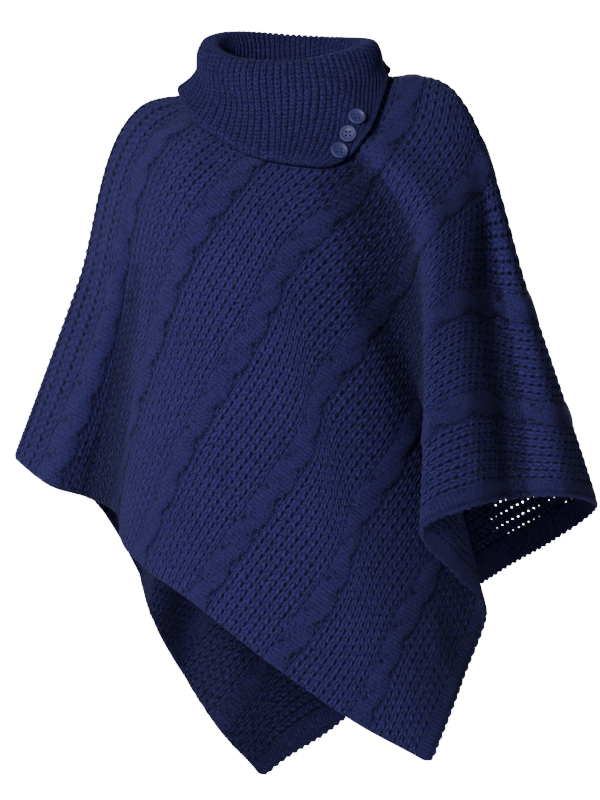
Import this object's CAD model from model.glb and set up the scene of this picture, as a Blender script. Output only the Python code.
# %% [markdown]
# # A knitted poncho sweater
# The garment is two panels of cable knit, a folded rib collar and three buttons. A real knitter thinks
# in flat cloth: so many rows along the cables, so many stitches across them. This lesson does the same.
# Every point of the cloth has a flat address, and one function says where the wearer's body hangs it.
# The knit, its cables and its holes are then laid out on the flat cloth, where they are simple.

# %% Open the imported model
import bpy
import numpy as np
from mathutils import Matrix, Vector


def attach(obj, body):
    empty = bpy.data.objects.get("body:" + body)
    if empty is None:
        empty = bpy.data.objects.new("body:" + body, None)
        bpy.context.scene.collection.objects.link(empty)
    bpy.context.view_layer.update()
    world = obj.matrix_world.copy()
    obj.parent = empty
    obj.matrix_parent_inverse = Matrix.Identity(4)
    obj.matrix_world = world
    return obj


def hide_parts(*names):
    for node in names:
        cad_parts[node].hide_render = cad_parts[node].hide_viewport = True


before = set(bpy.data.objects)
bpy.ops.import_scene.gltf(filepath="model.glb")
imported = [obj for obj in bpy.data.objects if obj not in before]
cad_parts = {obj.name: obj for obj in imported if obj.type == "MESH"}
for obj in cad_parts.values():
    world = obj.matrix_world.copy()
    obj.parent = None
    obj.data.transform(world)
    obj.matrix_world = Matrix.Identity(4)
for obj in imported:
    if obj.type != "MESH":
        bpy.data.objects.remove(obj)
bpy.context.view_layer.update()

# %% [markdown]
# ## Camera and light
# The photograph was taken level, from well back, so the garment shows almost no perspective. A long
# lens 3.5 m in front, at the height of the garment's middle, repeats that. Blender fits the sensor to
# the frame's long side, so the lens follows from the height that the frame covers.

# %% The camera
EYE = Vector((0.0, -3.5, -0.36))
VIEW_HEIGHT = 0.9756
SENSOR = 36.0
camera_data = bpy.data.cameras.new("camera")
camera_data.sensor_width = SENSOR
camera_data.lens = SENSOR * -EYE.y / VIEW_HEIGHT
camera = bpy.data.objects.new("camera", camera_data)
camera.location = EYE
camera.rotation_euler = (np.pi / 2, 0, 0)
bpy.context.collection.objects.link(camera)
bpy.context.scene.camera = camera
print("lens in mm:", round(camera_data.lens, 1))

# %% [markdown]
# A product studio lights dark knitwear with one large soft lamp beside the camera and little light
# from elsewhere. The lamp stands to the left and low, so every fold and stitch has a lit left side
# and a dark right side, and the deep folds go almost black.

# %% Lamps and the room's own light
def softbox(name, place, target, size, watts):
    """A square lamp that faces a point."""
    data = bpy.data.lights.new(name, "AREA")
    data.size = size
    data.energy = watts
    lamp = bpy.data.objects.new(name, data)
    lamp.location = place
    lamp.rotation_euler = (Vector(target) - Vector(place)).to_track_quat("-Z", "Y").to_euler()
    bpy.context.collection.objects.link(lamp)
    return lamp

MIDDLE = (0.0, 0.0, -0.35)
softbox("key_lamp", (-1.5, -2.85, 0.7), MIDDLE, 0.7, 104)
softbox("fill_lamp", (-0.2, -3.4, 0.9), MIDDLE, 1.0, 6)
softbox("back_lamp", (0.4, 3.0, 0.8), MIDDLE, 1.2, 110)
world = bpy.data.worlds.new("room")
bpy.context.scene.world = world
world.use_nodes = True
world.node_tree.nodes["Background"].inputs["Color"].default_value = (0.93, 0.95, 1.0, 1)
world.node_tree.nodes["Background"].inputs["Strength"].default_value = 0.05

# %% [markdown]
# ## Cloth with a flat address
# `along` is the distance with the cables, positive on the front panel and negative on the back one.
# `across` is the distance from the side seam. The hang rows below say where lines of the cloth run on
# the wearer: over the shoulder, at mid height and at the hem. A closed cubic fills in between them.

# %% The hang of the cloth
MM = 0.001
PANEL_ALONG, PANEL_ACROSS = 700.0, 760.0
NECK_ALONG, NECK_ACROSS = 180.0, 250.0
HEM_ROUND = 2 * (PANEL_ALONG + PANEL_ACROSS)
#           along the hem, turn at the neck, shelf (x, y, z), middle (x, y, z), low end (x, y, z)
HANG_ROWS = np.array([
    (0, -180, -195, 5, -7, -269, 10, -226, -346, 20, -435),
    (45, -173, -183, -45, -33, -241, -55, -280, -304, -45, -462),
    (100, -166, -176, -70, -58, -214, -62, -285, -260, -15, -478),
    (160, -158, -163, -88, -68, -192, -84, -280, -220, -40, -498),
    (220, -150, -150, -103, -81, -180, -104, -310, -212, -68, -532),
    (280, -142, -134, -118, -90, -158, -125, -330, -190, -105, -553),
    (400, -130, -100, -135, -120, -108, -150, -360, -122, -140, -600),
    (520, -118, -70, -145, -140, -44, -158, -395, -32, -148, -670),
    (640, -108, -45, -150, -150, 16, -155, -425, 66, -130, -740),
    (760, -100, -20, -150, -160, 54, -146, -450, 155, -100, -792),
    (880, -90, 18, -144, -170, 104, -110, -405, 198, -38, -695),
    (970, -80, 65, -130, -180, 144, -62, -365, 223, -54, -615),
    (1060, -70, 114, -120, -165, 156, -114, -340, 186, -104, -570),
    (1140, -60, 145, -142, -135, 148, -157, -320, 142, -150, -515),
    (1220, -50, 170, -115, -105, 185, -145, -280, 205, -145, -485),
    (1300, -35, 190, -80, -60, 225, -82, -240, 250, -92, -478),
    (1380, -18, 189, -45, -5, 262, -86, -232, 315, -92, -475),
    (1460, 0, 185, 5, 16, 276, 5, -235, 362, 5, -490),
    (1560, 20, 172, 54, -1, 250, 80, -250, 315, 50, -533),
    (1680, 40, 160, 95, -40, 200, 90, -300, 250, 90, -575),
    (1800, 58, 120, 120, -70, 160, 150, -330, 190, 155, -625),
    (1920, 72, 80, 125, -90, 110, 115, -370, 115, 100, -705),
    (2040, 84, 40, 130, -100, 50, 155, -400, 40, 155, -780),
    (2160, 94, 0, 130, -110, -5, 135, -420, -48, 130, -840),
    (2260, 104, -35, 130, -100, -50, 118, -400, -93, 108, -785),
    (2360, 114, -70, 125, -85, -95, 144, -370, -145, 150, -715),
    (2460, 126, -110, 115, -70, -135, 118, -330, -181, 104, -645),
    (2570, 140, -150, 90, -50, -175, 124, -295, -206, 130, -575),
    (2660, 154, -175, 70, -38, -210, 88, -265, -242, 84, -505),
    (2760, 166, -182, 50, -18, -245, 95, -245, -290, 110, -455),
    (2850, 174, -191, 30, -10, -262, 50, -232, -334, 70, -436),
], float)
# where the knit stretches unevenly over the arm: the cloth's own distance to the shelf and the middle
STRETCHED = {1300: (370, 525), 1380: (345, 505), 1460: (335, 510), 1560: (345, 530)}
print("hang rows:", len(HANG_ROWS))

# %% Curves through rows of numbers
def hermite(a, b, leaving, arriving, t):
    """A cubic from a to b with given slopes at its ends."""
    t2, t3 = t * t, t * t * t
    return a * (2 * t3 - 3 * t2 + 1) + leaving * (t3 - 2 * t2 + t) + b * (3 * t2 - 2 * t3) + arriving * (t3 - t2)

def closed_curve(places, values, period, gains, at):
    """The rows' values at each place of at. The curve closes, and in one period each value grows by its gain."""
    x = np.concatenate([places[-2:] - period, places, places[:2] + period])
    y = np.concatenate([values[-2:] - gains, values, values[:2] + gains])
    step = np.diff(x)[:, None]
    slope = np.diff(y, axis=0) / step
    tangent = (slope[:-1] * step[1:] + slope[1:] * step[:-1]) / (step[:-1] + step[1:])
    turns = np.floor((at - places[0]) / period)
    local = at - turns * period
    i = np.clip(np.searchsorted(places, local, side="right") + 1, 2, len(places) + 1)
    t = (local - x[i])[:, None] / step[i]
    return hermite(y[i], y[i + 1], tangent[i - 1] * step[i], tangent[i] * step[i], t) + gains * turns[:, None]

def neck_distance(angle):
    return NECK_ALONG * NECK_ACROSS / np.hypot(NECK_ACROSS * np.cos(angle), NECK_ALONG * np.sin(angle))

def neck_point(turn):
    """The worn neckline, an oval that dips in front and rises a little at the shoulders."""
    a = np.radians(turn)
    height = 4 + 10 * np.cos(a) + 35 * np.sin(a) + 14 * np.cos(2 * a)
    return np.stack([-10 + 115 * np.cos(a), 95 * np.sin(a), height], -1)

# %% Each row's measures
def row_measures():
    """For each row its angle on the flat cloth, and turn, two reaches, length below, two points and the fall's direction."""
    angles, measures = [], []
    for row in HANG_ROWS:
        along, turn, shelf, middle, low = row[0], row[1], row[2:5], row[5:8], row[8:11]
        if along <= PANEL_ACROSS:
            angle = np.arctan2(along, PANEL_ALONG)
        elif along <= HEM_ROUND - PANEL_ACROSS:
            angle = np.arctan2(PANEL_ACROSS, PANEL_ACROSS + PANEL_ALONG - along)
        else:
            angle = np.arctan2(HEM_ROUND - along, -PANEL_ALONG)
        to_foot = PANEL_ALONG / max(abs(np.cos(angle)), 1e-9)
        to_side = PANEL_ACROSS / max(abs(np.sin(angle)), 1e-9)
        hem, neck = min(to_foot, to_side), neck_distance(angle)
        spans = [np.linalg.norm(b - a) for a, b in ((neck_point(turn), shelf), (shelf, middle), (middle, low))]
        stretch = sum(spans) / (hem - neck)
        even = (neck + spans[0] / stretch, neck + (spans[0] + spans[1]) / stretch)
        shelf_reach, middle_reach = STRETCHED.get(int(along), even)
        below = hem - middle_reach
        angles.append(angle)
        measures.append([turn, shelf_reach, middle_reach, below, *shelf, *middle, *(low - middle) / below])
    return np.array(angles), np.array(measures)

ROW_ANGLES, ROW_MEASURES = row_measures()
ROW_GAINS = np.array([360.0] + [0.0] * 12)
print("rows turn from", ROW_MEASURES[0, 0], "to", ROW_MEASURES[-1, 0], "degrees round the neck")

# %% From the flat cloth to the worn garment
def cloth_point(along, across):
    """Worn points in millimetres, for arrays of flat addresses."""
    angle, distance = np.arctan2(across, along), np.hypot(along, across)
    m = closed_curve(ROW_ANGLES, ROW_MEASURES, np.pi, ROW_GAINS, angle)
    shelf_reach, middle_reach, below = m[:, 1:2], m[:, 2:3], m[:, 3:4]
    shelf, middle, fall = m[:, 4:7], m[:, 7:10], m[:, 10:13]
    start, near, far = neck_point(m[:, 0]), neck_distance(angle)[:, None], distance[:, None]
    first = (shelf - start) / (shelf_reach - near)
    second = (middle - shelf) / (middle_reach - shelf_reach)
    at_shelf, at_middle = (first + second) / 2, (second + fall) / 2
    at_neck = 1.5 * first - 0.5 * at_shelf
    span = shelf_reach - near
    over = hermite(start, shelf, at_neck * span, at_shelf * span, (far - near) / span)
    span = middle_reach - shelf_reach
    down = hermite(shelf, middle, at_shelf * span, at_middle * span, (far - shelf_reach) / span)
    beyond = far - middle_reach
    hang = middle + at_middle * beyond + (fall - at_middle) / below * beyond ** 2
    return np.where(far < shelf_reach, over, np.where(far < middle_reach, down, hang))

def cloth_normal(along, across, step=1.5):
    """Outward directions of the worn cloth."""
    with_grain = cloth_point(along + step, across) - cloth_point(along - step, across)
    with_row = cloth_point(along, across + step) - cloth_point(along, across - step)
    out = np.cross(with_grain, with_row)
    return out / np.linalg.norm(out, axis=1, keepdims=True)

sample = cloth_point(np.array([400.0]), np.array([400.0]))
print("the cloth 400 mm along and across hangs at", sample.round(1))

# %% [markdown]
# ## The knit, on the flat cloth
# Each panel repeats: a band of open moss knit, then a smooth cable. The moss knit is a lattice of
# small holes, half a step apart from column to column, with stitches standing up between them. The
# mesh follows that lattice, four faces to each stitch and column, so holes and crests fall on its
# points. A finer mesh would only cost time: legs of single stitches are left to the material.

# %% The bands of a panel
STITCH_ROW = PANEL_ALONG / 66
#        kind, from, to, knit columns, mesh steps
BANDS = [
    ("moss", 0, 26, 2.5, 10), ("cable", 26, 64, 6, 14), ("moss", 64, 141, 7, 28), ("cable", 141, 179, 6, 14),
    ("moss", 179, 261, 8, 32), ("cable", 261, 299, 6, 14), ("moss", 299, 381, 8, 32), ("cable", 381, 419, 6, 14),
    ("moss", 419, 501, 8, 32), ("cable", 501, 539, 6, 14), ("moss", 539, 621, 8, 32), ("cable", 621, 659, 6, 14),
    ("moss", 659, 735, 7, 28), ("plain", 735, 760, 4, 10),
]
SEAM_GAP = 0.3
WALL = 3.4

def panel_columns():
    """For each column of the mesh: across, knit column number, kind (0 moss, 1 cable, 2 plain) and place in its band."""
    rows, count = [], 0.5
    for kind, start, end, knit_columns, steps in BANDS:
        code = ("moss", "cable", "plain").index(kind)
        for k in range(steps):
            t = k / steps
            rows.append((start + (end - start) * t, count + knit_columns * t, code, t))
        count += knit_columns
        if kind != "moss":
            count = np.ceil(count / 2) * 2
    rows.append((PANEL_ACROSS, count, 2, 1.0))
    rows[0] = (SEAM_GAP / 2,) + rows[0][1:]
    return np.array(rows)

columns = panel_columns()
print("mesh columns across a panel:", len(columns))

# %% [markdown]
# A cable is two strands of smooth knit that keep crossing. Seen from above, each strand swings from
# side to side as a sine, and it is high while it crosses in front and low while it passes behind. The
# taller strand wins at each point, which gives the leaf-shaped lobes and the creases between them.

# %% The cables' relief
CABLE_LOBE = 48.0
CABLE_HALF = 19.0

def cable_relief(along, off):
    """Height of a cable in millimetres, the darkening of its creases, and the place across the strand on top."""
    swing = -np.pi * along / CABLE_LOBE
    best, lead = np.full(off.shape, -9.0), np.zeros(off.shape)
    second = np.full(off.shape, -9.0)
    for strand in (0, 1):
        centre = 5.0 * np.sin(swing + np.pi * strand)
        lift = 0.8 * np.cos(swing + np.pi * strand)
        place = (off - centre) / 10.4
        height = 2.0 * np.clip(1 - place ** 4, 0.0, 1.0) ** 0.5 + lift - 3.0 * np.clip(np.abs(place) - 1, 0, 9)
        second = np.where(height > best, best, np.minimum(np.maximum(second, height), best))
        lead = np.where(height > best, place, lead)
        best = np.maximum(best, height)
    best = best * np.clip((CABLE_HALF - np.abs(off)) / 2.6, 0, 1)
    crease = np.clip((np.abs(lead) - 0.74) / 0.2, 0, 1) * (second > 0.0)
    rim = np.exp(-((best - 0.5) / 0.6) ** 2) * np.where(off > 0, 1.0, 0.35)
    return np.maximum(best, 0.0), np.maximum(0.9 * crease, 0.95 * rim), lead

def knit_relief(along, column, across):
    """Relief, crease and smoothness at points of the flat cloth, with both stitch addresses."""
    kind, place = column[..., 2], column[..., 3]
    crate = np.cos(np.pi * (column[..., 1] - 0.5)) * np.cos(2 * np.pi * along / STITCH_ROW)
    moss = 1.15 * (1 - crate)
    centre = np.select([kind == 1], [across + CABLE_HALF - 2 * CABLE_HALF * place], 0.0)
    cable, crease, lead = cable_relief(along, np.where(kind == 1, across - centre, 0.0))
    smooth = np.where(kind == 1, np.clip((cable - 0.2) / 0.8, 0, 1), np.minimum(kind, 1.0))
    relief = np.select([kind == 0, kind == 1], [moss, moss * (1 - smooth) + (1.0 + cable) * smooth], 1.7)
    crease = np.where(kind == 1, crease, 0.0)
    strand = np.where(kind == 1, 3 * lead, 8 * place)
    return relief, crease, smooth, strand

# %% [markdown]
# ## A closed shell
# Cloth with holes and a visible wrong side needs real thickness. The outer face has the full mesh and
# the inner one every second point, because its relief is low. The two meet at the hems, where three
# triangles close each coarse edge. The mesh is made from arrays, since single-face calls are slow.

# %% Shell faces from a grid of kept cells
def shell_faces(kept):
    """Faces of a shell. kept says which coarse cells exist; outer points come first, then the coarse inner ones."""
    rows, cols = kept.shape
    fine_cols, coarse_cols, inner_start = 2 * cols + 1, cols + 1, (2 * rows + 1) * (2 * cols + 1)
    fine = np.kron(kept, np.ones((2, 2))).astype(bool)
    i, j = np.nonzero(fine)
    outer = np.stack([i * fine_cols + j, (i + 1) * fine_cols + j, (i + 1) * fine_cols + j + 1, i * fine_cols + j + 1], 1)
    i, j = np.nonzero(kept)
    inner = inner_start + np.stack([i * coarse_cols + j, i * coarse_cols + j + 1,
                                    (i + 1) * coarse_cols + j + 1, (i + 1) * coarse_cols + j], 1)
    padded = np.pad(kept, 1)
    rims = []
    for di, dj, a, b in ((-1, 0, (0, 0), (0, 1)), (0, 1, (0, 1), (1, 1)), (1, 0, (1, 1), (1, 0)), (0, -1, (1, 0), (0, 0))):
        open_side = kept & ~padded[1 + di:1 + di + rows, 1 + dj:1 + dj + cols]
        i, j = np.nonzero(open_side)
        f0 = 2 * (i + a[0]) * fine_cols + 2 * (j + a[1])
        f2 = 2 * (i + b[0]) * fine_cols + 2 * (j + b[1])
        mid = (f0 + f2) // 2
        c0 = inner_start + (i + a[0]) * coarse_cols + j + a[1]
        c1 = inner_start + (i + b[0]) * coarse_cols + j + b[1]
        rims.append(np.concatenate([np.stack(t, 1) for t in ((f0, mid, c0), (mid, f2, c1), (mid, c1, c0))]))
    return outer, inner, np.concatenate(rims)

def mesh_object(name, points, quads, triangles):
    """A mesh object from arrays of points in millimetres, with unused points dropped."""
    used = np.unique(np.concatenate([quads.ravel(), triangles.ravel()]))
    renumber = np.zeros(len(points), int)
    renumber[used] = np.arange(len(used))
    mesh = bpy.data.meshes.new(name)
    loops = np.concatenate([renumber[quads].ravel(), renumber[triangles].ravel()])
    starts = np.concatenate([np.arange(len(quads)) * 4, 4 * len(quads) + np.arange(len(triangles)) * 3])
    mesh.vertices.add(len(used))
    mesh.vertices.foreach_set("co", (points[used] * MM).astype(np.float32).ravel())
    mesh.loops.add(len(loops))
    mesh.loops.foreach_set("vertex_index", loops.astype(np.int32))
    mesh.polygons.add(len(starts))
    mesh.polygons.foreach_set("loop_start", starts.astype(np.int32))
    mesh.update(calc_edges=True)
    mesh.polygons.foreach_set("use_smooth", np.ones(len(starts), bool))
    obj = bpy.data.objects.new(name, mesh)
    bpy.context.collection.objects.link(obj)
    return obj, used, loops

def give_addresses(obj, used, loops, uv_maps, values):
    """UV maps from point addresses, and point values under their names."""
    for name, address in uv_maps.items():
        layer = obj.data.uv_layers.new(name=name)
        layer.data.foreach_set("uv", address[used][loops].astype(np.float32).ravel())
    for name, value in values.items():
        layer = obj.data.attributes.new(name, "FLOAT", "POINT")
        layer.data.foreach_set("value", value[used].astype(np.float32))

# %% How deep a point lies in a fold
def fold_depth(base, out, reach=16):
    """0 on open cloth to 1 at the bottom of a fold, from the height of the cloth some 40 mm around each point."""
    wide = np.pad(base, ((reach, reach), (reach, reach), (0, 0)), mode="edge")
    rows, cols = base.shape[:2]
    around = sum(wide[reach + i:reach + i + rows, reach + j:reach + j + cols]
                 for i, j in ((-reach, 0), (reach, 0), (0, -reach), (0, reach), (-reach, reach), (reach, -reach))) / 6
    depth = np.clip((np.sum((around - base) * out, axis=2) - 1.0) / 9.0, 0, 1)
    return depth * (2 - depth)

# %% The two panels
def knit_panel(name, side):
    """A panel of worn cloth as a closed shell. side is 1 for the front and -1 for the back."""
    rows = side * np.arange(265) * PANEL_ALONG / 264
    rows[0] = side * SEAM_GAP / 2
    cols = panel_columns()
    along, across = np.meshgrid(rows, cols[:, 0], indexing="ij")
    in_neck = (along / NECK_ALONG) ** 2 + (across / NECK_ACROSS) ** 2
    middle = (in_neck[:-2:2, :-2:2] + in_neck[2::2, 2::2]) / 2
    kept = middle > 1.0
    pull = np.where(in_neck < 1, 1 / np.sqrt(np.maximum(in_neck, 1e-6)), 1.0)
    column = np.broadcast_to(cols, along.shape + (4,))
    relief, crease, smooth, strand = knit_relief(along, column, across)
    edge_rows = np.clip((PANEL_ALONG - np.abs(along)) / 8, 0, 1)
    edge_cols = np.clip((PANEL_ACROSS - across) / 8, 0, 1)
    hem = np.minimum(edge_rows, edge_cols)
    relief = relief * np.sqrt(hem) - 0.9 * (hem == 0)
    groove = np.clip(1 - np.abs(across - 751.5) / 3.0, 0, 1)
    relief = relief - 1.2 * groove
    crease = np.maximum(crease, groove * (0.75 + 0.25 * np.sin(2 * np.pi * along / 7)))
    scallop = np.clip((across - 752) / 8, 0, 1) * (2.4 * np.abs(np.sin(np.pi * along / STITCH_ROW)) - 1.4)
    past_row, past_col = np.clip(np.abs(along) - 686, 0, 99), np.clip(across - 746, 0, 99)
    corner = 14 / np.maximum(np.hypot(past_row, past_col), 14)
    flat_along = (np.sign(along) * (np.minimum(np.abs(along), 686) + past_row * corner) * pull).ravel()
    flat_across = ((np.minimum(across, 746) + past_col * corner + scallop) * pull).ravel()
    base, out = cloth_point(flat_along, flat_across), cloth_normal(flat_along, flat_across)
    outer = base + out * (WALL / 2 + relief.ravel()[:, None])
    in_fold = fold_depth(base.reshape(along.shape + (3,)), out.reshape(along.shape + (3,)))
    crate = np.cos(np.pi * (column[..., 1] - 0.5)) * np.cos(2 * np.pi * along / STITCH_ROW)
    inner = base - out * (WALL / 2 + 0.6 - 0.6 * (crate * (1 - smooth)).ravel()[:, None])
    coarse = np.zeros(along.shape, bool)
    coarse[::2, ::2] = True
    points = np.concatenate([outer, inner[coarse.ravel()]])
    outer_faces, inner_faces, rims = shell_faces(kept)
    quads = np.concatenate([outer_faces, inner_faces])
    if side < 0:
        quads, rims = quads[:, ::-1], rims[:, ::-1]
    obj, used, loops = mesh_object(name, points, quads, rims)
    both = lambda grid: np.concatenate([grid.ravel(), grid[::2, ::2].ravel()])
    row_number = along / STITCH_ROW
    openness = np.clip((across - 330) / 60, 0, 1) * np.clip((430 + along) / 60, 0, 1) * (side < 0)
    give_addresses(obj, used, loops, {
        "lattice": np.stack([both(column[..., 1]), both(row_number)], 1),
        "strands": np.stack([both(strand), both(along / 5.3)], 1),
    }, {
        "smooth_knit": both(smooth),
        "crease": np.concatenate([crease.ravel(), 0 * crease[::2, ::2].ravel()]),
        "openness": both(openness),
        "shaded": np.concatenate([in_fold.ravel(), (0.85 if side < 0 else 0.0) + 0 * crease[::2, ::2].ravel()]),
    })
    print(name, "triangles:", 2 * len(quads) + len(rims))
    return obj

front_panel = knit_panel("front_panel_knit", 1)
back_panel = knit_panel("back_panel_knit", -1)

# %% [markdown]
# ## The collar
# A long strip of rib, joined on at the neckline. It stands up, rolls over and falls outside itself.
# Near its buttoned end the ribs lean with the slanting edge, so each rib's line swings round the neck
# as it runs down. The strip's two ends meet along the stand and part on the fall.

# %% The collar's spine
COLLAR_WALL = 4.2
FALL_LIFT = WALL / 2 + 3.2 + 1.0 + 0.8 + COLLAR_WALL / 2
FALL_ROWS = np.array([
    (-180, 20), (-150, 32), (-120, 42), (-90, 50), (-76, 57), (-66, 51), (-60, 44), (-52, 30), (-36, 13), (-18, 5),
    (0, 4), (18, 10), (40, 26), (90, 34), (140, 26),
], float)

def rim_point(turn, outward, up):
    a = np.radians(turn)
    height = 71.5 + 26.2 * np.sin(a) + 4.5 * np.cos(2 * a) - 3.6 * np.sin(2 * a) + up
    return np.stack([-13 + (97 + outward) * np.cos(a), (84 + outward) * np.sin(a), height], -1)

def collar_spine(turn):
    """Seven points of the collar's section at each turn, from the stand's foot to the fall's edge."""
    foot = neck_point(turn)
    inward = np.stack([-10 - foot[:, 0], -foot[:, 1], 0 * turn], -1)
    inward /= np.linalg.norm(inward, axis=1, keepdims=True)
    foot = foot + 7 * inward - [0, 0, 6]
    angle = closed_curve(HANG_ROWS[:, 1], ROW_ANGLES[:, None], 360, np.array([np.pi]), turn)[:, 0]
    past = closed_curve(FALL_ROWS[:, 0], FALL_ROWS[:, 1:], 360, np.array([0.0]), turn)[:, 0]
    reach = neck_distance(angle) + past
    along, across = reach * np.cos(angle), reach * np.sin(angle)
    edge = cloth_point(along, across) + FALL_LIFT * cloth_normal(along, across)
    outer = rim_point(turn, 11, -11)
    belly = (outer + edge) / 2 + (3 + 4 * (1 - np.cos(np.radians(turn))))[:, None] * inward
    crown = [rim_point(turn, -11, -11), rim_point(turn, -5.5, -1.4), rim_point(turn, 5.5, -1.4)]
    return np.stack([foot, *crown, outer, belly, edge], 1)

def spine_point(spine, share):
    """The point of each section at a share, where whole numbers are the section's own points."""
    chord = np.maximum(np.linalg.norm(np.diff(spine, axis=1), axis=2), 1e-6)[..., None]
    slope = np.diff(spine, axis=1) / chord
    inside = (slope[:, :-1] * chord[:, 1:] + slope[:, 1:] * chord[:, :-1]) / (chord[:, :-1] + chord[:, 1:])
    tangent = np.concatenate([slope[:, :1], inside, slope[:, -1:]], 1)
    i = np.clip(share.astype(int), 0, 5)
    n = np.arange(len(spine))
    span = chord[n, i]
    return hermite(spine[n, i], spine[n, i + 1], tangent[n, i] * span, tangent[n, i + 1] * span, (share - i)[:, None])

# %% The collar's ribs
RIBS = 82
STEPS_TO_RIB = 8
END_TURN = 357.0
LEAN_FROM = 258.0
# the slanting end: its turn and its share of the section, from the rim to the corner under the buttons
END_LINE = np.array([(0, -3, 4.0), (0.12, -4, 5.1), (0.24, -10, 5.95), (0.42, -28, 6), (0.62, -46, 6), (0.82, -61, 6),
                     (1, -74, 6)])

def collar_grid():
    """Turn and share of each point of the collar's mesh, with rows down the section and columns round the neck."""
    share = np.concatenate([np.linspace(0, 1, 19)[:-1], np.linspace(1, 4, 13)[:-1], np.linspace(4, 6, 37)])
    start = np.linspace(END_TURN - 359.8, END_TURN, RIBS * STEPS_TO_RIB + 1)
    lean = np.clip((start - LEAN_FROM) / (END_TURN - LEAN_FROM), 0, 1)
    down = np.clip((share - 4) / 2, 0, 1)[:, None]
    end_turn = np.interp(down, END_LINE[:, 0], END_LINE[:, 1]) - END_LINE[0, 1]
    end_share = np.interp(down, END_LINE[:, 0], END_LINE[:, 2])
    turn = start + lean * end_turn
    fall = 4 + 2 * down + (end_share - 4 - 2 * down) * lean ** 3
    rib_place = (np.arange(len(start)) / STEPS_TO_RIB) + 0.45 * (turn - start) * RIBS / 359.8
    return turn, np.where(share[:, None] > 4, fall, share[:, None]), lean, down, rib_place

def knit_collar():
    turn, share, lean, down, rib_place = collar_grid()
    rows, cols = turn.shape
    middle = spine_point(collar_spine(turn.ravel()), share.ravel()).reshape(rows, cols, 3)
    out = np.cross(np.gradient(middle, axis=0), np.gradient(middle, axis=1))
    out /= np.linalg.norm(out, axis=2, keepdims=True)
    from_end = RIBS - np.arange(cols) / STEPS_TO_RIB
    band = np.where(down > 0, np.clip((from_end - 1.6) / 0.4, 0, 1), 1.0)
    depth = (2.3 - 0.7 * lean * down) * band
    rib = np.abs(np.sin(np.pi * rib_place)) ** 0.7
    edge = np.sqrt(np.clip((rows - 1 - np.arange(rows)) / 2, 0, 1))[:, None]
    cast_off = np.exp(-((np.arange(rows) - rows + 3.0) / 1.6) ** 2)[:, None]
    relief = (depth * rib + 1.6 * (1 - band)) * edge * (1 - 0.6 * cast_off) + 1.8 * cast_off * edge - 0.8 * (1 - edge)
    shown = middle + out * (COLLAR_WALL / 2 + relief)[..., None]
    hidden = middle - out * (COLLAR_WALL / 2)
    length = np.cumsum(np.linalg.norm(np.diff(middle, axis=0, prepend=middle[:1]), axis=2), axis=0)
    coarse = np.zeros((rows, cols), bool)
    coarse[::2, ::2] = True
    points = np.concatenate([shown.reshape(-1, 3), hidden[coarse]])
    kept = np.ones(((rows - 1) // 2, (cols - 1) // 2), bool)
    outer_faces, inner_faces, rims = shell_faces(kept)
    obj, used, loops = mesh_object("collar_rib", points, np.concatenate([outer_faces, inner_faces]), rims)
    both = lambda grid: np.concatenate([grid.ravel(), grid[::2, ::2].ravel()])
    valley = (1 - rib) ** 1.2 * band * (1 - 0.8 * cast_off)
    give_addresses(obj, used, loops, {"strands": np.stack([both(rib_place), both(length / 5.4)], 1)}, {
        "crease": both(valley), "smooth_knit": both(np.ones((rows, cols))),
    })
    round_mm = np.linalg.norm(np.diff(middle, axis=1), axis=2).sum(1)
    down_mm = np.linalg.norm(np.diff(middle, axis=0), axis=2).sum(0)
    corners = np.cross(middle[1:, 1:] - middle[:-1, :-1], middle[1:, :-1] - middle[:-1, 1:])
    print("collar cloth: round", round_mm.max().round(), "down", down_mm.max().round(),
          "area in square metres", round(np.linalg.norm(corners, axis=2).sum() / 2e6, 4))
    print("collar rows and columns:", rows, cols, "triangles:", 2 * len(outer_faces) + 2 * len(inner_faces) + len(rims))
    return obj

collar = knit_collar()

# %% [markdown]
# ## Buttons
# Each is turned from a rod: a raised rim, a shallow dish and four holes, sewn on with the garment's
# own yarn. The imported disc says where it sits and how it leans, so the new button takes its place.

# %% Three turned buttons
BUTTON_PROFILE = [(0, 2.3), (2.6, 2.3), (5.4, 2.35), (6.8, 2.6), (7.6, 3.3), (8.5, 3.75), (9.5, 3.6), (10.3, 2.9),
                  (10.6, 1.9), (10.3, 0.9), (9.2, 0.2), (7.7, 0.0), (0, 0.0)]

def disc_frame(node):
    """Centre and three directions of a packed button, from the spread of its points."""
    co = np.array([v.co for v in node.data.vertices])
    centre = co.mean(0)
    _, _, axes = np.linalg.svd(co - centre)
    normal = axes[2] if axes[2][1] < 0 else -axes[2]
    side = np.cross([0, 0, 1.0], normal)
    side /= np.linalg.norm(side)
    return centre, side, np.cross(normal, side), normal

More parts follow.
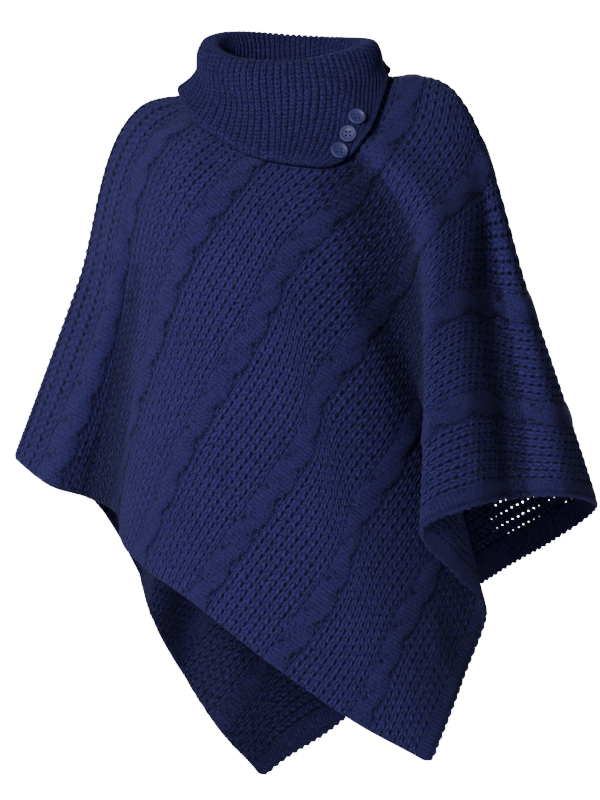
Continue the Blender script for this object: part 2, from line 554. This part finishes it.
def turned_button(name, node):
    centre, side, up, normal = disc_frame(node)
    steps = 56
    angle = np.arange(steps) * 2 * np.pi / steps
    rings = [r for r in BUTTON_PROFILE if r[0] > 0]
    flat = np.concatenate([np.stack([r * np.cos(angle), r * np.sin(angle), 0 * angle + h], 1) for r, h in rings])
    flat = np.concatenate([flat, [(0, 0, BUTTON_PROFILE[0][1]), (0, 0, 0)]])
    ring, place = np.meshgrid(np.arange(len(rings) - 1), np.arange(steps), indexing="ij")
    a, b = (ring * steps + place).ravel(), (ring * steps + (place + 1) % steps).ravel()
    quads = np.stack([a, a + steps, b + steps, b], 1)
    top, last = len(rings) * steps, (len(rings) - 1) * steps
    k = np.arange(steps)
    fans = np.concatenate([np.stack([k, (k + 1) % steps, 0 * k + top], 1),
                           np.stack([last + (k + 1) % steps, last + k, 0 * k + top + 1], 1)])
    points = centre * 1000 + flat[:, :1] * side + flat[:, 1:2] * up + (flat[:, 2:] - 1.75) * normal
    obj, _, _ = mesh_object(name, points, quads, fans)
    drills = []
    for x, y in ((1, 1), (-1, 1), (-1, -1), (1, -1)):
        bpy.ops.mesh.primitive_cylinder_add(vertices=20, radius=1.0 * MM, depth=9 * MM)
        drill = bpy.context.object
        drill.location = centre + (x * 2.1 * side + y * 2.1 * up) * MM
        drill.rotation_euler = Vector(normal).to_track_quat("Z", "Y").to_euler()
        drills.append(drill)
    for drill in drills:
        cut = obj.modifiers.new("hole", "BOOLEAN")
        cut.operation, cut.object, cut.solver = "DIFFERENCE", drill, "EXACT"
    bpy.context.view_layer.update()
    done = bpy.data.meshes.new_from_object(obj.evaluated_get(bpy.context.evaluated_depsgraph_get()))
    obj.modifiers.clear()
    obj.data = done
    for drill in drills:
        bpy.data.objects.remove(drill)
    print(name, "triangles:", sum(len(p.vertices) - 2 for p in done.polygons))
    return obj

BUTTONS = ["button_upper", "button_middle", "button_lower"]
buttons = [turned_button(name + "_turned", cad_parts[name]) for name in BUTTONS]

# %% [markdown]
# ## Materials
# Every finish here is yarn or button. What the knit shares is one node group: it takes a stitch
# address and gives the height of the V-shaped stitches and the hole beside them. The shader itself
# stays in each material.

# %% A small hand for node trees
class Wiring:
    """Adds nodes to a tree and joins them by name."""
    def __init__(self, tree):
        self.tree = tree

    def add(self, kind, inputs=None, **settings):
        node = self.tree.nodes.new(kind)
        for name, value in settings.items():
            setattr(node, name, value)
        for name, value in (inputs or {}).items():
            socket = node.inputs[name]
            if isinstance(value, bpy.types.NodeSocket):
                self.tree.links.new(value, socket)
            else:
                socket.default_value = value
        return node

    def math(self, operation, a, b=0.0, c=0.0):
        return self.add("ShaderNodeMath", {0: a, 1: b, 2: c}, operation=operation).outputs[0]

    def blend(self, share, a, b):
        """A colour between a and b."""
        node = self.add("ShaderNodeMix", {"Factor": share}, data_type="RGBA")
        for slot, value in ((6, a), (7, b)):
            if isinstance(value, bpy.types.NodeSocket):
                self.tree.links.new(value, node.inputs[slot])
            else:
                node.inputs[slot].default_value = value
        return node.outputs[2]

    def soft_step(self, value, low, high, start=0.0, end=1.0):
        node = self.add("ShaderNodeMapRange", {"Value": value, "From Min": low, "From Max": high, "To Min": start,
                                               "To Max": end}, interpolation_type="SMOOTHSTEP")
        return node.outputs[0]

# %% The stitch group
def stitch_group():
    """Stitch address in; height of the stitch legs and a hole mask out."""
    tree = bpy.data.node_groups.new("knit_stitches", "ShaderNodeTree")
    sockets = tree.interface
    sockets.new_socket(name="Address", in_out="INPUT", socket_type="NodeSocketVector")
    for name, value in (("Stagger", 0.0), ("Slant", 0.8), ("Lean", 0.0), ("Hole Width", 0.2), ("Hole Length", 0.2)):
        sockets.new_socket(name=name, in_out="INPUT", socket_type="NodeSocketFloat").default_value = value
    sockets.new_socket(name="Height", in_out="OUTPUT", socket_type="NodeSocketFloat")
    sockets.new_socket(name="Hole", in_out="OUTPUT", socket_type="NodeSocketFloat")
    w = Wiring(tree)
    given = w.add("NodeGroupInput").outputs
    split = w.add("ShaderNodeSeparateXYZ", {0: given["Address"]}).outputs
    parity = w.math("FLOORED_MODULO", w.math("FLOOR", split[0]), 2.0)
    row = w.math("ADD", split[1], w.math("MULTIPLY", parity, given["Stagger"]))
    beside = w.math("SUBTRACT", w.math("FRACT", split[0]), 0.5)
    away = w.math("ABSOLUTE", beside)
    leg_row = w.math("FRACT", w.math("ADD", row, w.math("MULTIPLY", away, given["Slant"])))
    leg = w.math("SINE", w.math("MULTIPLY", leg_row, np.pi))
    across = w.math("ABSOLUTE", w.math("SUBTRACT", w.math("MULTIPLY", away, 4.0), 1.0))
    side = w.math("SUBTRACT", 1.0, w.math("POWER", across, 2.5))
    height = w.math("MULTIPLY", w.math("POWER", leg, 0.6), w.math("POWER", w.math("MAXIMUM", side, 0.0), 0.6))
    hole_row = w.math("SUBTRACT", w.math("FRACT", w.math("ADD", row, 0.5)), 0.5)
    leaning = w.math("SUBTRACT", beside, w.math("MULTIPLY", hole_row, given["Lean"]))
    x = w.math("DIVIDE", leaning, given["Hole Width"])
    y = w.math("DIVIDE", hole_row, given["Hole Length"])
    far = w.math("ADD", w.math("MULTIPLY", x, x), w.math("MULTIPLY", y, y))
    hole = w.soft_step(far, 0.1, 1.6, 1.0, 0.0)
    groove = w.soft_step(w.math("MULTIPLY", x, x), 0.1, 1.8, 0.38, 0.0)
    hole = w.math("MAXIMUM", hole, groove)
    w.add("NodeGroupOutput", {"Height": height, "Hole": hole})
    return tree

STITCHES = stitch_group()

# %% The yarn group
def yarn_group():
    """Heathered yarn: colours and a fine fibre height from the place on the cloth."""
    tree = bpy.data.node_groups.new("heather_yarn", "ShaderNodeTree")
    sockets = tree.interface
    sockets.new_socket(name="Shade", in_out="INPUT", socket_type="NodeSocketFloat")
    for name, colour in (("Deep", (0.004, 0.004, 0.03, 1)), ("Bright", (0.04, 0.05, 0.2, 1))):
        sockets.new_socket(name=name, in_out="INPUT", socket_type="NodeSocketColor").default_value = colour
    sockets.new_socket(name="Colour", in_out="OUTPUT", socket_type="NodeSocketColor")
    sockets.new_socket(name="Fibre", in_out="OUTPUT", socket_type="NodeSocketFloat")
    w = Wiring(tree)
    given = w.add("NodeGroupInput").outputs
    place = w.add("ShaderNodeTexCoord").outputs["Object"]
    fibre = w.add("ShaderNodeTexNoise", {"Vector": place, "Scale": 1300.0, "Detail": 3.0}).outputs[0]
    heather = w.add("ShaderNodeTexNoise", {"Vector": place, "Scale": 520.0, "Detail": 4.0}).outputs[0]
    drift = w.add("ShaderNodeTexNoise", {"Vector": place, "Scale": 9.0, "Detail": 2.0}).outputs[0]
    tone = w.math("ADD", given["Shade"], w.math("MULTIPLY", w.math("SUBTRACT", heather, 0.5), 2.3))
    tone = w.math("ADD", tone, w.math("MULTIPLY", w.math("SUBTRACT", drift, 0.5), 0.16))
    tone = w.math("MINIMUM", w.math("MAXIMUM", tone, 0.0), 1.0)
    colour = w.blend(tone, given["Deep"], given["Bright"])
    w.add("NodeGroupOutput", {"Colour": colour, "Fibre": fibre})
    return tree

YARN = yarn_group()
DEEP_YARN = (0.0016, 0.0012, 0.013, 1)
BRIGHT_YARN = (0.037, 0.029, 0.163, 1)

# %% Yarn shader shared by panels and collar
def yarn_material(name):
    """A new material with a soft, matt yarn shader, and its wiring."""
    material = bpy.data.materials.new(name)
    material.use_nodes = True
    shader = material.node_tree.nodes["Principled BSDF"]
    shader.inputs["Roughness"].default_value = 0.92
    shader.inputs["Specular IOR Level"].default_value = 0.18
    shader.inputs["Sheen Weight"].default_value = 0.08
    shader.inputs["Sheen Roughness"].default_value = 0.5
    shader.inputs["Sheen Tint"].default_value = (0.45, 0.5, 1.0, 1)
    return material, shader, Wiring(material.node_tree)

def attribute(w, name):
    return w.add("ShaderNodeAttribute", attribute_name=name).outputs["Fac"]

# %% The panels' knit
def panel_material():
    material, shader, w = yarn_material("panel_knit")
    place = w.add("ShaderNodeTexCoord").outputs["Object"]
    wander = w.add("ShaderNodeTexNoise", {"Vector": place, "Scale": 150.0, "Detail": 1.0}).outputs[1]
    wander = w.add("ShaderNodeVectorMath", {0: wander, 1: (0.5, 0.5, 0.5)}, operation="SUBTRACT").outputs[0]
    lattice = w.add("ShaderNodeUVMap", uv_map="lattice").outputs[0]
    lattice = w.add("ShaderNodeVectorMath", {0: wander, 1: (0.32, 0.32, 0.0), 2: lattice}, operation="MULTIPLY_ADD").outputs[0]
    strands = w.add("ShaderNodeUVMap", uv_map="strands").outputs[0]
    moss = w.add("ShaderNodeGroup", {"Address": lattice, "Stagger": 0.5, "Slant": 1.1, "Lean": 0.22,
                                     "Hole Width": 0.15, "Hole Length": 0.4}, node_tree=STITCHES)
    plain = w.add("ShaderNodeGroup", {"Address": strands, "Slant": 1.0}, node_tree=STITCHES)
    smooth, crease = attribute(w, "smooth_knit"), attribute(w, "crease")
    open_knit = w.math("SUBTRACT", 1.0, smooth)
    hole = w.math("MULTIPLY", moss.outputs["Hole"], open_knit)
    legs = w.math("ADD", w.math("MULTIPLY", moss.outputs["Height"], open_knit),
                  w.math("MULTIPLY", w.math("MULTIPLY", plain.outputs["Height"], 0.8), smooth))
    shade = w.math("ADD", 0.36, w.math("MULTIPLY", legs, 0.5))
    shade = w.math("ADD", shade, w.math("MULTIPLY", smooth, 0.1))
    shade = w.math("SUBTRACT", shade, w.math("MULTIPLY", hole, 0.52))
    shade = w.math("SUBTRACT", shade, w.math("MULTIPLY", crease, 0.6))
    shade = w.math("SUBTRACT", shade, w.math("MULTIPLY", attribute(w, "shaded"), 0.42))
    yarn = w.add("ShaderNodeGroup", {"Shade": shade, "Deep": DEEP_YARN, "Bright": BRIGHT_YARN}, node_tree=YARN)
    height = w.math("SUBTRACT", w.math("ADD", legs, w.math("MULTIPLY", yarn.outputs["Fibre"], 0.22)),
                    w.math("MULTIPLY", hole, 0.8))
    bump = w.add("ShaderNodeBump", {"Strength": 0.9, "Distance": 1.6 * MM, "Height": height})
    see_through = w.math("MULTIPLY", hole, attribute(w, "openness"))
    gap = w.soft_step(see_through, 0.965, 1.0, 1.0, 0.0)
    w.tree.links.new(yarn.outputs["Colour"], shader.inputs["Base Color"])
    w.tree.links.new(bump.outputs[0], shader.inputs["Normal"])
    w.tree.links.new(gap, shader.inputs["Alpha"])
    return material

# %% The collar's rib
def collar_material():
    material, shader, w = yarn_material("collar_rib")
    strands = w.add("ShaderNodeUVMap", uv_map="strands").outputs[0]
    rib = w.add("ShaderNodeGroup", {"Address": strands, "Slant": 1.2}, node_tree=STITCHES)
    crease = attribute(w, "crease")
    shade = w.math("ADD", 0.2, w.math("MULTIPLY", rib.outputs["Height"], 0.5))
    shade = w.math("SUBTRACT", shade, w.math("MULTIPLY", crease, 0.42))
    yarn = w.add("ShaderNodeGroup", {"Shade": shade, "Deep": DEEP_YARN, "Bright": BRIGHT_YARN}, node_tree=YARN)
    height = w.math("ADD", w.math("MULTIPLY", rib.outputs["Height"], 0.6), w.math("MULTIPLY", yarn.outputs["Fibre"], 0.3))
    bump = w.add("ShaderNodeBump", {"Strength": 0.8, "Distance": 1.2 * MM, "Height": height})
    w.tree.links.new(yarn.outputs["Colour"], shader.inputs["Base Color"])
    w.tree.links.new(bump.outputs[0], shader.inputs["Normal"])
    return material

# %% The buttons' dyed plastic
def button_material():
    material = bpy.data.materials.new("button")
    material.use_nodes = True
    shader = material.node_tree.nodes["Principled BSDF"]
    w = Wiring(material.node_tree)
    place = w.add("ShaderNodeTexCoord").outputs["Object"]
    cloud = w.add("ShaderNodeTexNoise", {"Vector": place, "Scale": 160.0, "Detail": 3.0}).outputs[0]
    colour = w.blend(cloud, (0.026, 0.027, 0.115, 1), (0.038, 0.04, 0.155, 1))
    rough = w.soft_step(cloud, 0.2, 0.8, 0.45, 0.6)
    w.tree.links.new(colour, shader.inputs["Base Color"])
    w.tree.links.new(rough, shader.inputs["Roughness"])
    return material

KNIT, RIB, BUTTON = panel_material(), collar_material(), button_material()

# %% Dress the pieces
for piece, material, node, slot in (
    (front_panel, KNIT, "front_panel", "panel_knit"), (back_panel, KNIT, "back_panel", "panel_knit"),
    (collar, RIB, "collar", "collar_rib"), *((b, BUTTON, n, "button") for b, n in zip(buttons, BUTTONS)),
):
    piece.data.materials.clear()
    piece.data.materials.append(material)
    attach(piece, "root")
    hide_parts(node)

# %% [markdown]
# ## The room
# A pale floor lies where the wearer would stand, and four bright walls far away stand for the white
# studio. They look white but give little light, so the folds stay deep.

# %% Floor and wall
def stage_plane(name, size, place, turn, colour, glow):
    bpy.ops.mesh.primitive_plane_add(size=1, location=place, rotation=turn)
    plane = bpy.context.object
    plane.name = name
    plane.scale = (size[0], size[1], 1)
    material = bpy.data.materials.new(name)
    material.use_nodes = True
    shader = material.node_tree.nodes["Principled BSDF"]
    shader.inputs["Base Color"].default_value = colour
    shader.inputs["Roughness"].default_value = 0.9
    shader.inputs["Emission Color"].default_value = (1, 1, 1, 1)
    w = Wiring(material.node_tree)
    seen = w.add("ShaderNodeLightPath").outputs["Is Camera Ray"]
    w.tree.links.new(w.math("MULTIPLY_ADD", seen, glow, 0.0025 * glow), shader.inputs["Emission Strength"])
    plane.data.materials.append(material)
    return plane

stage_plane("floor", (3.4, 3.4), (0, 0, -1.42), (0, 0, 0), (0.86, 0.87, 0.88, 1), 0.0)
for name, place, turn in (("wall", (0, 9, 0), 0), ("wall_near", (0, -9, 0), 0),
                          ("wall_left", (-9, 0, 0), np.pi / 2), ("wall_right", (9, 0, 0), np.pi / 2)):
    stage_plane(name, (18, 12), place, (np.pi / 2, 0, turn), (0.9, 0.9, 0.9, 1), 17.0)
